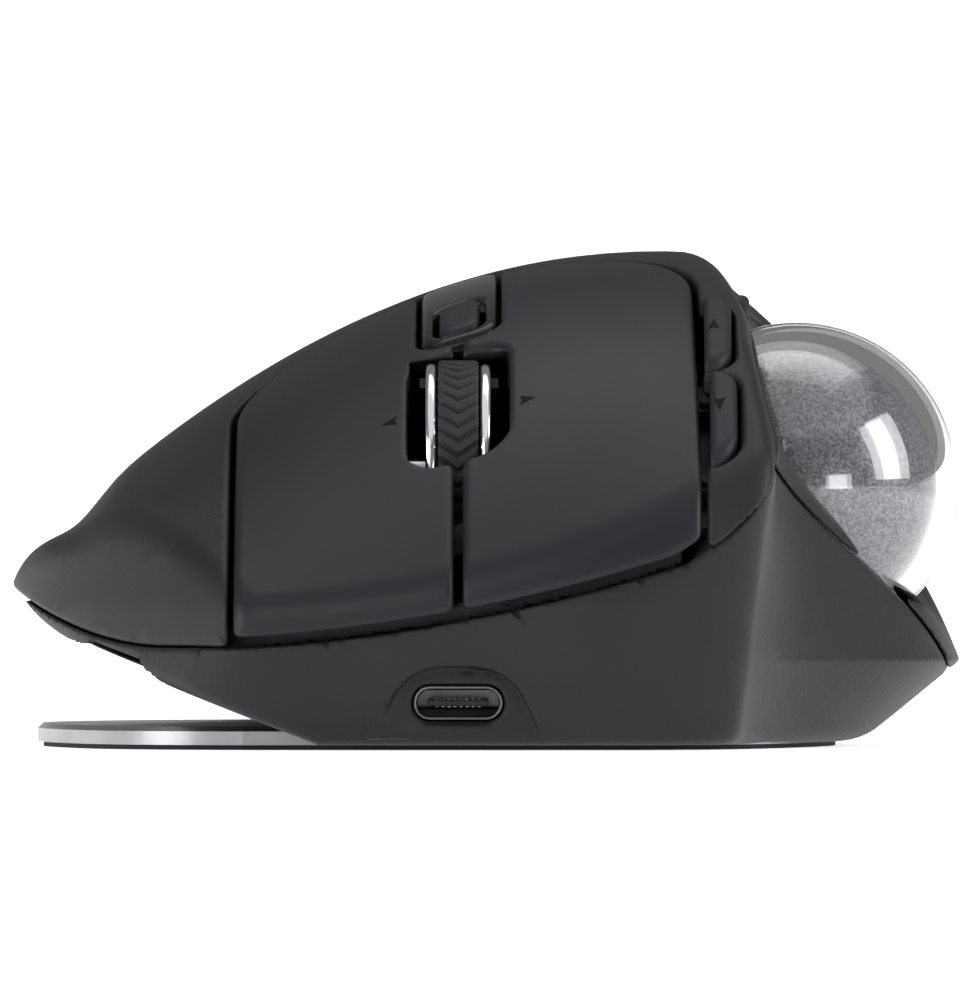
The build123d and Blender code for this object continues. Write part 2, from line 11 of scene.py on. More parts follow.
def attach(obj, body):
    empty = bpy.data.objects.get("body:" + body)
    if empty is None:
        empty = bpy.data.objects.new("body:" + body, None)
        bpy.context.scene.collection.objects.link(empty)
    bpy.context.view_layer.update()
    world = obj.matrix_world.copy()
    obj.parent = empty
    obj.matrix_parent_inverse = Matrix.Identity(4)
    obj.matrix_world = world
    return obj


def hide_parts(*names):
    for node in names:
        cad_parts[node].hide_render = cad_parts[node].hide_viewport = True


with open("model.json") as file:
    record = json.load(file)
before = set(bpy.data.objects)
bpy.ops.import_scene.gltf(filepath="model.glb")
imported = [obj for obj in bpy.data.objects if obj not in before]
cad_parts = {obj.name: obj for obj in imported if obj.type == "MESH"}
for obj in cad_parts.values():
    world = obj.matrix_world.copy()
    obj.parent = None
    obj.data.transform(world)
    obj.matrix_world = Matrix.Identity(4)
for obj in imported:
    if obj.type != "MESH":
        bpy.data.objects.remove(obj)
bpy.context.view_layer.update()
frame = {"nodes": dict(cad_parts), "record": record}

# Trackball mouse. Shapes are worked out in millimetres and turned into metres when a mesh is made.
# -Y is the front with the key lips and the charging port, +X the thumb side, +Z up.

MM = 0.001
LENGTH = 132.5
HALF_WIDTH = 50.0
CREST_Z = 51.6
CREST_Y = -2.0
CREST_X = 18.0
ARCH = 0.0073
WALL = 2.2                   # casing wall
KEY_WALL = 1.9               # wall of the main buttons
PANEL_IN = 2.0
LIP_SET = 1.2
LIP_GAP = 1.0
SEAM_GAP = 0.16
MID_X = -2.9
LEFT_EDGE_X = -25.9
RIGHT_EDGE_X = 22.0
SPLIT = 0.9
RECESS_Z = 2.45
ROOM_Z = RECESS_Z + 0.12     # ceiling of the visible recess, a little clear of the plate
FLOOR_T = 2.0
RIDGE_X = -17.2
TILT = radians(20.0)
BALL = (32.2, -8.0, 27.1)
BALL_R = 17.0
CORE_R = 14.6
WHEEL = (MID_X, -38.2, 28.5)
WHEEL_R = 11.5
SLOT = (-7.9, 2.2, -52.1, -34.3)
STRIP = (-6.8, 1.1, -31.6, -6.5)
KEY = (-4.9, -0.7, -29.6, -21.3)
PORT_Z = 4.9
HOLE = (28.0, -8.0, 4.6)     # finger hole: x, y, radius
SCREWS = [(-30.0, -15.0, 15.0), (-30.0, 33.0, 14.0), (19.0, 39.0, 12.0), (0.0, 58.5, 11.0)]


# ---------------------------------------------------------------- form of the body
def rise(value, centre, width):
    """Smooth step from 0 to 1."""
    return 1.0 / (1.0 + np.exp(-(value - centre) / width))


def front_line(x):
    return -LENGTH / 2 + 0.004 * (x - 3.0) ** 2


def lip_height(x):
    return 17.5 + 0.2 * (x + 3.0) + 0.0039 * (x + 3.0) ** 2


def rear_line(x, z):
    return LENGTH / 2 - 0.0118 * x * x + 0 * z


def left_line(y):
    ahead = np.maximum(6.0 - y, 0.0)
    behind = np.maximum(y - 6.0, 0.0)
    return -HALF_WIDTH + 0.01064 * ahead ** 1.83 + 0.0036 * behind ** 2


def right_line(y):
    return 26.0 + 24.0 * rise(y, -29.0, 9.0) - 0.0055 * np.maximum(0.0, y - 8.0) ** 2


def top(x, y):
    """Height of the back of the body and of the keys."""
    peak = CREST_Z - ARCH * (x - CREST_X) ** 2 - 1.6 * np.exp(-((x + 42.5) / 3.2) ** 2)
    ahead = np.maximum(0.0, CREST_Y - y) / (CREST_Y - front_line(x))
    behind = np.maximum(0.0, y - CREST_Y) / (LENGTH / 2 - CREST_Y)
    return peak - (peak - lip_height(x)) * ahead ** 2.1 - (peak - 8.0) * behind ** 2.4


def left_side(y, z):
    return left_line(y) + 0.12 * np.maximum(0.0, z - 14.0)


def right_side(y, z):
    undercut = 0.15 + 1.1 * rise(y, -24.0, 9.0)
    lean = 0.15 - 0.4 * rise(y, -42.0, 5.0)
    return right_line(y) + np.where(z < 9.0, undercut, lean) * (z - 9.0)


def thumb_side(y, z):
    hollow = 27.2 + 26.0 * rise(-z, -20.0, 5.75) - 0.034 * np.maximum(0.0, z - 40.0) ** 2
    return hollow + 0.012 * np.maximum(0.0, y - 10.0) ** 2


def front_side(x, z):
    return front_line(x) + 0.012 * (z - 14.0) ** 2 * np.where(z > 14.0, 1.0, 0.3)


def under_front(x, z):
    return front_line(x) + LIP_SET + 0.28 * np.maximum(0.0, 15.0 - z)


def underside(x, y):
    run = np.maximum(0.0, RIDGE_X - x)
    return 0.55 + 0.39 * run + 3.6 * np.exp((np.minimum(run, 36.0) - 32.0) / 3.2) + 0 * y


def ceiling(x):
    return RECESS_Z + tan(TILT) * np.maximum(0.0, RIDGE_X - x)


def parting(x, y):
    """Seam round the body, rising under the lips of the keys."""
    skirt = 10.6 + 0.022 * np.minimum(0.0, x + 33.0) ** 2
    ahead = 1.0 - rise(y, -20.0, 10.0)
    across = np.maximum(0.0, x + 25.0)
    return skirt + (0.06 * across + 0.0029 * across ** 2) * ahead


# ---------------------------------------------------------------- distance fields, negative inside
def over(surface, u, v, w):
    """Distance of coordinate w past the surface w(u, v)."""
    step = 0.05
    du = (surface(u + step, v) - surface(u - step, v)) / (2 * step)
    dv = (surface(u, v + step) - surface(u, v - step)) / (2 * step)
    return (w - surface(u, v)) / np.sqrt(1 + du * du + dv * dv)


def meet(a, b, blend=0.0):
    """Common part of two fields; blend rounds the edge between them."""
    if not blend:
        return np.maximum(a, b)
    near = np.maximum(blend - np.abs(a - b), 0.0) / blend
    return np.maximum(a, b) + near * near * blend * 0.25


def join(a, b, blend=0.0):
    return -meet(-a, -b, blend)


def cut(a, b, blend=0.0):
    return meet(a, -b, blend)


def oblong(u, v, u0, u1, v0, v1, radius):
    """Rounded rectangle."""
    a = np.abs(u - (u0 + u1) / 2) - (u1 - u0) / 2 + radius
    b = np.abs(v - (v0 + v1) / 2) - (v1 - v0) / 2 + radius
    out = np.sqrt(np.maximum(a, 0) ** 2 + np.maximum(b, 0) ** 2)
    return out + np.minimum(np.maximum(a, b), 0) - radius


def ball_field(x, y, z, radius):
    return np.sqrt((x - BALL[0]) ** 2 + (y - BALL[1]) ** 2 + (z - BALL[2]) ** 2) - radius


def upright_field(x, y, cx, cy, radius):
    return np.sqrt((x - cx) ** 2 + (y - cy) ** 2) - radius


def crown(x, y, z):
    """Outside of the upper half: back, lips, ridge and palm end."""
    body = meet(over(top, x, y, z), -over(left_side, y, z, x), 2.0)
    body = meet(body, over(rear_line, x, z, y), 12.0)
    body = meet(body, over(right_side, y, z, x), 3.0)
    body = meet(body, over(thumb_side, y, z, x), 2.4)
    return meet(body, -over(front_side, x, z, y), 1.5)


def skirt(x, y, z):
    """Outside of the lower half."""
    body = meet(over(top, x, y, z), -over(left_side, y, z, x), 2.0)
    body = meet(body, over(rear_line, x, z, y), 12.0)
    body = meet(body, over(right_side, y, z, x), 3.0)
    body = meet(body, over(thumb_side, y, z, x), 1.0)
    body = meet(body, -over(under_front, x, z, y), 4.0)
    body = meet(body, corner(x, y, z), 2.5)
    return meet(body, -over(underside, x, y, z), 1.6)


def corner(x, y, z):
    """Slanting facet between the front wall and the wing, with a soft ridge on each side."""
    a = np.array((24.7, -64.4, 19.4))
    b = np.array((16.9, -60.6, 0.8))
    c = np.array((24.4, -56.6, 0.8))
    normal = np.cross(c - a, b - a)
    normal = normal / np.linalg.norm(normal)
    if normal[1] > 0:
        normal = -normal
    return (x - a[0]) * normal[0] + (y - a[1]) * normal[1] + (z - a[2]) * normal[2]


def key_area(x, y, left, right, rear):
    """Plan of both main buttons together, grown by the given gaps."""
    back = np.clip((y + 60.0) / 38.5, 0.0, 1.0)
    sides = np.maximum(LEFT_EDGE_X + 0.1 * back - left - x, x - RIGHT_EDGE_X + 0.9 * back - right)
    return meet(sides, (y + 10.0 + 0.018 * (x + 2.0) ** 2 - rear) * 0.95, 7.0)


def side_area(x, y, y0, y1, shift, grow):
    return oblong(x, y, RIGHT_EDGE_X - 3.6, RIGHT_EDGE_X + 3.2 + shift + grow, y0 - grow, y1 + grow, 2.8)


def openings(x, y):
    """Plan of everything cut out of the upper casing."""
    area = key_area(x, y, 0.5, 0.55, 0.5)
    area = np.minimum(area, oblong(x, y, STRIP[0] - 0.35, STRIP[1] + 0.35, STRIP[2], STRIP[3] + 0.35, 2.6))
    area = np.minimum(area, side_area(x, y, -45.6, -31.0, 0.0, 0.35))
    return np.minimum(area, side_area(x, y, -59.6, -47.0, 0.5, 0.35))


def seam(x, y, z):
    """Distance above the seam; the lower half also fills the ridge beside the keys."""
    cover = np.clip(4.5 - 0.25 * (x - 22.0), 2.8, 4.5)
    ridge = meet(meet(21.3 - x, over(top, x, y, z) + cover, 1.5), (y - 30.0) * 0.8, 6.0)
    return join(over(parting, x, y, z), ridge, 1.5)


def bosses(x, y, z, lower):
    """Screw pillars of one casing half."""
    field = 99.0
    for cx, cy, level in SCREWS:
        pillar = upright_field(x, y, cx, cy, 3.1)
        ends = np.maximum(z - level, ceiling(cx) + 1.0 - z) if lower else level - z
        pillar = cut(np.maximum(pillar, ends), upright_field(x, y, cx, cy, 1.25))
        field = np.minimum(field, pillar)
    return field


def upper_shell(x, y, z):
    outer = crown(x, y, z)
    posts = meet(bosses(x, y, z, False), outer + 1.0)
    shell = join(cut(outer, outer + WALL, 0.4), posts, 1.0)
    shell = meet(shell, SEAM_GAP / 2 - seam(x, y, z), 0.5)
    shell = cut(shell, openings(x, y), 0.8)
    return cut(shell, precision_hole(x, y, z), 0.3)


def precision_hole(x, y, z):
    return np.maximum(np.sqrt((y + 17.0) ** 2 + (z - 44.8) ** 2) - 2.4, 20.0 - x)


def inside(x, y, z):
    """Hollow of the casing."""
    body = meet(over(top, x, y, z), -over(left_side, y, z, x), 2.0)
    body = meet(body, over(rear_line, x, z, y), 12.0)
    body = meet(body, over(right_side, y, z, x), 2.0)
    body = meet(body, -over(under_front, x, z, y), 2.0) + WALL
    body = meet(body, RECESS_Z + FLOOR_T + tan(TILT) * np.maximum(0, RIDGE_X - x) - z, 1.5)
    return meet(body, over(thumb_side, y, z, x + PANEL_IN), 0.5)


def plate_points(count):
    """Plate outline as a closed polyline from its control curve."""
    corners = [(-25.0, -51.0), (-36.5, -43.5), (-43.5, -24.0), (-46.8, 2.0), (-42.5, 30.0),
               (-24.0, 52.0), (2.0, 60.0), (23.0, 52.5), (34.5, 32.0), (36.7, 2.0), (30.8, -28.0),
               (24.0, -44.5), (16.0, -51.0)]
    points = []
    for i in range(len(corners) - 1):
        p = [np.array(corners[max(0, min(len(corners) - 1, i + k))]) for k in (-1, 0, 1, 2)]
        for t in np.linspace(0, 1, count, endpoint=False):
            points.append(0.5 * (2 * p[1] + (p[2] - p[0]) * t
                                 + (2 * p[0] - 5 * p[1] + 4 * p[2] - p[3]) * t ** 2
                                 + (3 * p[1] - p[0] - 3 * p[2] + p[3]) * t ** 3))
    return points + [np.array(corners[-1])]


PLATE = plate_points(5)


def plate_area(x, y):
    """Distance to the plate outline in plan."""
    x, y = np.broadcast_arrays(x, y)
    best = np.full(x.shape, 1e9)
    inside_it = np.zeros(x.shape, bool)
    for a, b in zip(PLATE, PLATE[1:] + PLATE[:1]):
        ex, ey = b - a
        wx, wy = x - a[0], y - a[1]
        t = np.clip((wx * ex + wy * ey) / (ex * ex + ey * ey), 0, 1)
        best = np.minimum(best, (wx - ex * t) ** 2 + (wy - ey * t) ** 2)
        if ey != 0:
            crosses = (a[1] > y) != (b[1] > y)
            inside_it ^= crosses & (x < ex * (y - a[1]) / ey + a[0])
    return np.where(inside_it, -1.0, 1.0) * np.sqrt(best)


def plate_room(x, y, z):
    """Recess for the plate, flat and tilted."""
    flat = np.maximum(plate_area(x, y) - 0.8, z - ROOM_Z)
    along = RIDGE_X + (x - RIDGE_X) / cos(TILT)
    plane = (z - ROOM_Z - tan(TILT) * (RIDGE_X - x)) * cos(TILT)
    return np.minimum(flat, np.maximum(plate_area(along, y) - 1.1, plane))


def port_recess(x, z):
    """Hooded recess round the charging port."""
    from_mid = np.abs(x - MID_X)
    sides = (from_mid - 5.5 - (8.4 - z) * 0.42) / 1.08
    return meet(sides, z - 8.6, 4.0)


def lower_shell(x, y, z):
    outer = skirt(x, y, z)
    shell = cut(outer, inside(x, y, z))
    floor = np.maximum(inside(x, y, z) - WALL, z - ceiling(x) - FLOOR_T)
    shell = np.minimum(shell, np.maximum(outer, floor))
    shell = join(shell, np.maximum(bosses(x, y, z, True), outer + 1.0), 1.0)
    pad = np.maximum(oblong(x, z, MID_X - 9.5, MID_X + 9.5, 1.2, 9.6, 0.5), np.abs(y + 59.6) - 1.3)
    shell = np.minimum(shell, pad)
    shell = meet(shell, seam(x, y, z) + SEAM_GAP / 2, 0.5)
    flange = np.maximum(np.maximum(outer + 2.1, -outer - 3.1), np.abs(seam(x, y, z)) - 1.8)
    shell = np.minimum(shell, np.maximum(flange, key_area(x, y, 3, -2, 0)))
    shell = meet(shell, over(thumb_side, y, z, x + PANEL_IN) + SEAM_GAP, 0.5)
    shell = cut(shell, plate_room(x, y, z), 0.5)
    shell = cut(shell, meet(port_recess(x, z), y + 60.9, 0.3), 0.35)
    shell = cut(shell, np.maximum(oblong(x, z, MID_X - 4.75, MID_X + 4.75, PORT_Z - 1.9, PORT_Z + 1.9, 1.85),
                                  y + 57.0), 0.4)
    shell = cut(shell, np.maximum(upright_field(x, y, *HOLE), z - 8.0), 0.4)
    shell = cut(shell, np.maximum(oblong(x, y, -8.6, 0.6, 10.3, 13.7, 0.6), z - 7.0), 0.3)
    for cx, cy, level in SCREWS:
        shell = cut(shell, np.maximum(upright_field(x, y, cx, cy, 2.2), z - ceiling(cx) - 1.1), 0.3)
    return cut(shell, ball_field(x, y, z, BALL_R + 0.6))


def thumb_panel(x, y, z):
    outer = skirt(x, y, z)
    panel = meet(outer, -over(thumb_side, y, z, x + PANEL_IN), 0.5)
    panel = meet(panel, seam(x, y, z) + SEAM_GAP / 2, 0.5)
    panel = cut(panel, precision_hole(x, y, z), 0.3)
    return cut(panel, ball_field(x, y, z, BALL_R + 0.55), 1.4)


def main_button(x, y, z, side):
    outer = crown(x, y, z)
    key = cut(outer, outer + KEY_WALL, 0.4)
    area = meet(key_area(x, y, 0, 0, 0), side * (MID_X + side * SPLIT / 2 - x), 0.6)
    key = meet(key, area, 0.9)
    key = meet(key, LIP_GAP - seam(x, y, z), 0.8)
    sweep = np.sqrt((y - WHEEL[1]) ** 2 + (z - WHEEL[2]) ** 2) - WHEEL_R - 0.8
    key = cut(key, np.maximum(sweep, np.abs(x - MID_X) - 5.0), 0.3)
    key = cut(key, oblong(x, y, STRIP[0] - 0.4, STRIP[1] + 0.4, STRIP[2] - 0.4, STRIP[3] + 9, 2.8), 0.7)
    return cut(key, oblong(x, y, *SLOT, 3.4), 0.9)


def left_button(x, y, z):
    return main_button(x, y, z, 1)


def right_button(x, y, z):
    return main_button(x, y, z, -1)


def device_panel(x, y, z):
    outer = crown(x, y, z)
    panel = meet(cut(outer, outer + 2.0), oblong(x, y, *STRIP, 2.4), 0.9)
    return cut(panel, oblong(x, y, KEY[0] - 0.55, KEY[1] + 0.55, KEY[2] - 0.6, KEY[3] + 0.6, 2.2), 0.7)


def device_button(x, y, z):
    outer = crown(x, y, z)
    key = meet(np.maximum(outer - 0.2, -outer - 3.0), oblong(x, y, *KEY, 1.6), 0.9)
    return key


def side_button(x, y, z, y0, y1, shift):
    outer = crown(x, y, z)
    area = meet(side_area(x, y, y0, y1, shift, 0.0), RIGHT_EDGE_X + 0.4 + shift - x, 0.5)
    return meet(np.maximum(outer - 0.75, -outer - 3.0), area, 0.9)


def forward_button(x, y, z):
    return side_button(x, y, z, -45.6, -31.0, 0.0)


def back_button(x, y, z):
    return side_button(x, y, z, -59.6, -47.0, 0.5)


def precision_button(x, y, z):
    tip = thumb_side(np.float64(-17.0), np.float64(44.8)) + 0.5
    radial = np.sqrt((y + 17.0) ** 2 + (z - 44.8) ** 2) - 2.1
    return meet(radial, np.maximum(x - tip, 21.6 - x), 0.9)


# ---------------------------------------------------------------- meshes from fields
BLOCK = 8                    # cells along the edge of one block of the sampling grid
SHARE = 3000                 # blocks worked out at a time


def slope(field, points):
    """Gradient of a field at points."""
    step = 0.04
    x, y, z = points.T
    grads = [field(x + step, y, z) - field(x - step, y, z),
             field(x, y + step, z) - field(x, y - step, z),
             field(x, y, z + step) - field(x, y, z - step)]
    return np.stack(grads, 1) / (2 * step)


def settle(field, points, cell):
    """Moves points onto the surface and returns them with their normals."""
    grad = slope(field, points)
    size = np.maximum((grad ** 2).sum(1), 0.05)
    shift = -(field(*points.T) / size)[:, None] * grad
    reach = np.linalg.norm(shift, axis=1, keepdims=True)
    points = points + shift * np.minimum(1.0, 0.25 * cell / np.maximum(reach, 1e-9))
    grad = slope(field, points)
    return points, grad / np.maximum(np.linalg.norm(grad, axis=1, keepdims=True), 1e-9)


def sample(field, low, blocks, cell):
    """Field on a grid, worked out only in the blocks that its surface may cross."""
    starts = [low[i] + cell * BLOCK * np.arange(blocks[i]) for i in range(3)]
    half = cell * (BLOCK - 1) / 2
    middle = field(starts[0][:, None, None] + half, starts[1][None, :, None] + half,
                   starts[2][None, None, :] + half)
    middle = np.broadcast_to(middle, blocks)
    near = np.argwhere(np.abs(middle) < 3.0 * half)
    far = np.where(middle < 0, -3 * cell, 3 * cell).astype(np.float32)
    values = np.empty((blocks[0], BLOCK, blocks[1], BLOCK, blocks[2], BLOCK), np.float32)
    values[:] = far[:, None, :, None, :, None]
    steps = cell * np.arange(BLOCK)
    for group in np.array_split(near, len(near) // SHARE + 1):
        i, j, k = group.T
        part = field(starts[0][i][:, None, None, None] + steps[None, :, None, None],
                     starts[1][j][:, None, None, None] + steps[None, None, :, None],
                     starts[2][k][:, None, None, None] + steps[None, None, None, :])
        part = np.broadcast_to(part, (len(group), BLOCK, BLOCK, BLOCK))
        values[i, :, j, :, k, :] = np.clip(part, -3 * cell, 3 * cell)
    return values.reshape([n * BLOCK for n in blocks])


def carve(name, field, box, cell, thin=0.0):
    """Mesh object of a field inside a box given in millimetres."""
    cell = cell * 1
    low = np.array(box[:3]) - 2 * cell
    blocks = [int(np.ceil(((box[i + 3] - box[i]) / cell + 5) / BLOCK)) for i in range(3)]
    grid = openvdb.FloatGrid(3 * cell)
    grid.copyFromArray(sample(field, low, blocks, cell))
    points, triangles, quads = grid.convertToPolygons(0.0, thin)
    points, normals = settle(field, points.astype(np.float64) * cell + low, cell)
    faces = quads.tolist() + triangles.tolist()
    a, b, c = (points[[face[i] for face in faces]] for i in (0, 1, 2))
    facing = (np.cross(b - a, c - a) * normals[[face[0] for face in faces]]).sum()
    if facing < 0:
        faces = [face[::-1] for face in faces]
    mesh = bpy.data.meshes.new(name)
    mesh.from_pydata((points * MM).tolist(), [], faces)
    mesh.polygons.foreach_set("use_smooth", [True] * len(faces))
    mesh.normals_split_custom_set_from_vertices(normals.tolist())
    return place(name, mesh)


def place(name, mesh):
    obj = bpy.data.objects.new(name, mesh)
    bpy.context.scene.collection.objects.link(obj)
    return obj


# ---------------------------------------------------------------- materials
def mapped(tree, grain, stretch=(1, 1, 1)):
    """Object coordinates scaled so that one unit is one grain, in millimetres."""
    coords = tree.nodes.new("ShaderNodeTexCoord")
    mapping = tree.nodes.new("ShaderNodeMapping")
    mapping.inputs["Scale"].default_value = [1.0 / (grain * MM) / s for s in stretch]
    tree.links.new(coords.outputs["Object"], mapping.inputs["Vector"])
    return mapping.outputs["Vector"]


def noise(tree, grain, detail=2.0, stretch=(1, 1, 1)):
    node = tree.nodes.new("ShaderNodeTexNoise")
    node.inputs["Scale"].default_value = 1.0
    node.inputs["Detail"].default_value = detail
    tree.links.new(mapped(tree, grain, stretch), node.inputs["Vector"])
    return node.outputs["Fac"]


def cells(tree, grain):
    """Soft leather-like cells."""
    node = tree.nodes.new("ShaderNodeTexVoronoi")
    node.feature = "SMOOTH_F1"
    node.inputs["Scale"].default_value = 1.0
    node.inputs["Smoothness"].default_value = 0.35
    tree.links.new(mapped(tree, grain), node.inputs["Vector"])
    return node.outputs["Distance"]


def ramp(tree, value, low, high, at=(0.35, 0.65)):
    node = tree.nodes.new("ShaderNodeValToRGB")
    node.color_ramp.elements[0].position = at[0]
    node.color_ramp.elements[1].position = at[1]
    node.color_ramp.elements[0].color = (*low, 1)
    node.color_ramp.elements[1].color = (*high, 1)
    tree.links.new(value, node.inputs["Fac"])
    return node.outputs["Color"]


def bump(tree, value, height, before=None):
    """Relief of the given height in millimetres."""
    node = tree.nodes.new("ShaderNodeBump")
    node.inputs["Strength"].default_value = 1.0
    node.inputs["Distance"].default_value = height * MM
    tree.links.new(value, node.inputs["Height"])
    if before:
        tree.links.new(before, node.inputs["Normal"])
    return node.outputs["Normal"]


def material(name, rough, metal=0.0, **extra):
    """New material with a Principled shader; extra holds more of its inputs."""
    mat = bpy.data.materials.new(name)
    mat.use_nodes = True
    shader = mat.node_tree.nodes["Principled BSDF"]
    shader.inputs["Roughness"].default_value = rough
    shader.inputs["Metallic"].default_value = metal
    for key, value in extra.items():
        shader.inputs[key.replace("_", " ")].default_value = value
    return mat, mat.node_tree, shader


def plastic(name, low, high, grain, relief, rough, leather=0.0, metal=0.0, stretch=(1, 1, 1)):
    """Grained finish: two close tones, varied roughness, fine relief and an optional leather grain."""
    mat, tree, shader = material(name, rough, metal, Specular_IOR_Level=0.5 if metal else 0.22)
    fine = noise(tree, grain, 3.0, stretch)
    broad = noise(tree, 14.0, 1.0)
    tree.links.new(ramp(tree, broad, low, high, (0.3, 0.7)), shader.inputs["Base Color"])
    normal = None
    if leather:
        normal = bump(tree, cells(tree, leather), relief * 1.6)
    tree.links.new(bump(tree, fine, relief, normal), shader.inputs["Normal"])
    spread = tree.nodes.new("ShaderNodeMapRange")
    spread.inputs["To Min"].default_value = max(0.02, rough - 0.07)
    spread.inputs["To Max"].default_value = rough + 0.07
    tree.links.new(fine, spread.inputs["Value"])
    tree.links.new(spread.outputs["Result"], shader.inputs["Roughness"])
    return mat


def glossy_strip():
    """Piano-black strip whose base colour is painted lighter towards its upper end, a painted sheen of the
    overhead light.
    """
    mat, tree, shader = material("strip_gloss", 0.16, 0.0, Specular_IOR_Level=0.22)
    coords = tree.nodes.new("ShaderNodeTexCoord")
    split = tree.nodes.new("ShaderNodeSeparateXYZ")
    tree.links.new(coords.outputs["Object"], split.inputs["Vector"])
    along = tree.nodes.new("ShaderNodeMapRange")
    along.inputs["From Min"].default_value = STRIP[2] * MM
    along.inputs["From Max"].default_value = STRIP[3] * MM
    tree.links.new(split.outputs["Y"], along.inputs["Value"])
    # painted sheen: base colour ramps from near black at the front to a lighter grey at the upper end
    tree.links.new(ramp(tree, along.outputs["Result"], (0.005, 0.005, 0.006), (0.03, 0.031, 0.034), (0, 1)),
                   shader.inputs["Base Color"])
    tree.links.new(bump(tree, noise(tree, 6.0), 0.01), shader.inputs["Normal"])
    return mat


def ball_paint():
    """Metallic paint with bright flakes of mixed size."""
    mat, tree, shader = material("ball_flakes", 0.38, 0.3)
    flakes = tree.nodes.new("ShaderNodeTexVoronoi")
    flakes.inputs["Scale"].default_value = 1.0
    tree.links.new(mapped(tree, 0.2), flakes.inputs["Vector"])
    split = tree.nodes.new("ShaderNodeSeparateColor")
    tree.links.new(flakes.outputs["Color"], split.inputs["Color"])
    tone = ramp(tree, split.outputs["Red"], (0.10, 0.102, 0.107), (0.30, 0.305, 0.315), (0.1, 1.0))
    tree.links.new(tone, shader.inputs["Base Color"])
    turn = tree.nodes.new("ShaderNodeBump")
    turn.inputs["Distance"].default_value = 0.012 * MM
    tree.links.new(split.outputs["Green"], turn.inputs["Height"])
    tree.links.new(turn.outputs["Normal"], shader.inputs["Normal"])
    return mat


def clear(name, tint):
    mat, tree, shader = material(name, 0.02, 0.0, Transmission_Weight=1.0, IOR=1.49)
    tree.links.new(ramp(tree, noise(tree, 9.0), tint, (1, 1, 1)), shader.inputs["Base Color"])
    tree.links.new(bump(tree, noise(tree, 5.0), 0.003), shader.inputs["Normal"])
    return mat


def board():
    """Green circuit board with lighter tracks."""
    mat, tree, shader = material("board_finish", 0.35)
    lanes = tree.nodes.new("ShaderNodeTexBrick")
    lanes.inputs["Scale"].default_value = 1.0
    lanes.inputs["Mortar Size"].default_value = 0.06
    lanes.inputs["Color1"].default_value = (0.012, 0.09, 0.04, 1)
    lanes.inputs["Color2"].default_value = (0.016, 0.11, 0.05, 1)
    lanes.inputs["Mortar"].default_value = (0.05, 0.22, 0.1, 1)
    tree.links.new(mapped(tree, 1.6), lanes.inputs["Vector"])
    tree.links.new(lanes.outputs["Color"], shader.inputs["Base Color"])
    return mat


def finishes():
    """One procedural finish for each material slot of the record."""
    graphite = ((0.011, 0.0118, 0.0135), (0.014, 0.015, 0.017))
    return {
        "plate_steel": plastic("steel_brushed", (0.30, 0.305, 0.315), (0.42, 0.425, 0.435), 0.12, 0.006, 0.34,
                               metal=1.0, stretch=(12, 12, 1)),
        "pad_rubber": plastic("pad_black", (0.012, 0.012, 0.013), (0.018, 0.018, 0.02), 0.5, 0.03, 0.8),
        "shell_grain": plastic("graphite_leather", *graphite, 0.3, 0.018, 0.52, leather=0.75),
        "shell_fine": plastic("graphite_fine", *graphite, 0.28, 0.02, 0.5),
        "panel_fine": plastic("graphite_panel", *graphite, 0.3, 0.02, 0.5, leather=0.7),
        "button_smooth": plastic("graphite_smooth", (0.0095, 0.0106, 0.0125), (0.012, 0.0135, 0.016),
                                 0.2, 0.004, 0.42),
        "gloss_strip": glossy_strip(),
        "wheel_rubber": plastic("tyre_rubber", (0.016, 0.017, 0.018), (0.024, 0.025, 0.027), 0.3, 0.012,
                                0.62),
        "polished": plastic("rim_polished", (0.74, 0.75, 0.77), (0.82, 0.83, 0.85), 0.1, 0.002, 0.14,
                            metal=1.0),
        "inner_plastic": plastic("inner_black", (0.016, 0.016, 0.018), (0.026, 0.026, 0.028), 0.6, 0.02, 0.5),
        "white_plastic": plastic("white_slider", (0.62, 0.62, 0.6), (0.7, 0.7, 0.68), 0.4, 0.01, 0.4),
        "clear_ball": clear("clear_resin", (0.97, 0.98, 1.0)),
        "ball_metallic": ball_paint(),
        "board_green": board(),
        "chip_black": plastic("chip_resin", (0.012, 0.012, 0.013), (0.022, 0.022, 0.024), 0.25, 0.01, 0.45),
        "steel": plastic("steel_bright", (0.46, 0.47, 0.49), (0.58, 0.59, 0.6), 0.2, 0.004, 0.26, metal=1.0),
        "magnet": plastic("magnet_nickel", (0.5, 0.5, 0.5), (0.62, 0.62, 0.61), 0.3, 0.003, 0.2, metal=1.0),
        "cell_wrap": plastic("cell_film", (0.42, 0.43, 0.45), (0.5, 0.5, 0.5), 1.2, 0.02, 0.3, metal=0.6),
        "lens_clear": clear("lens_resin", (0.95, 0.96, 0.98)),
        "ceramic": plastic("bearing_white", (0.78, 0.78, 0.76), (0.84, 0.84, 0.82), 0.4, 0.002, 0.15),
        "ribbon": plastic("ribbon_film", (0.34, 0.16, 0.035), (0.42, 0.2, 0.05), 0.5, 0.01, 0.35,
                          stretch=(20, 1, 1)),
    }


FINISH = finishes()
SLOT_OF = {part["node"]: part["material_slot"] for part in frame["record"]["subparts"]}
SLOT_OF["side_board"] = "chip_black"     # board given the black chip finish in place of its own, as painted shade in the gap beside the keys
for node, obj in frame["nodes"].items():
    obj.data.materials.clear()
    obj.data.materials.append(FINISH[SLOT_OF[node]])
    for face in obj.data.polygons:
        face.material_index = 0


def dress(obj, body, slot, *nodes, finish=None):
    """Gives a piece its body, its finish and the CAD nodes it stands for."""
    obj.data.materials.append(finish or FINISH[slot])
    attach(obj, body)
    if nodes:
        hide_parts(*nodes)
    return obj


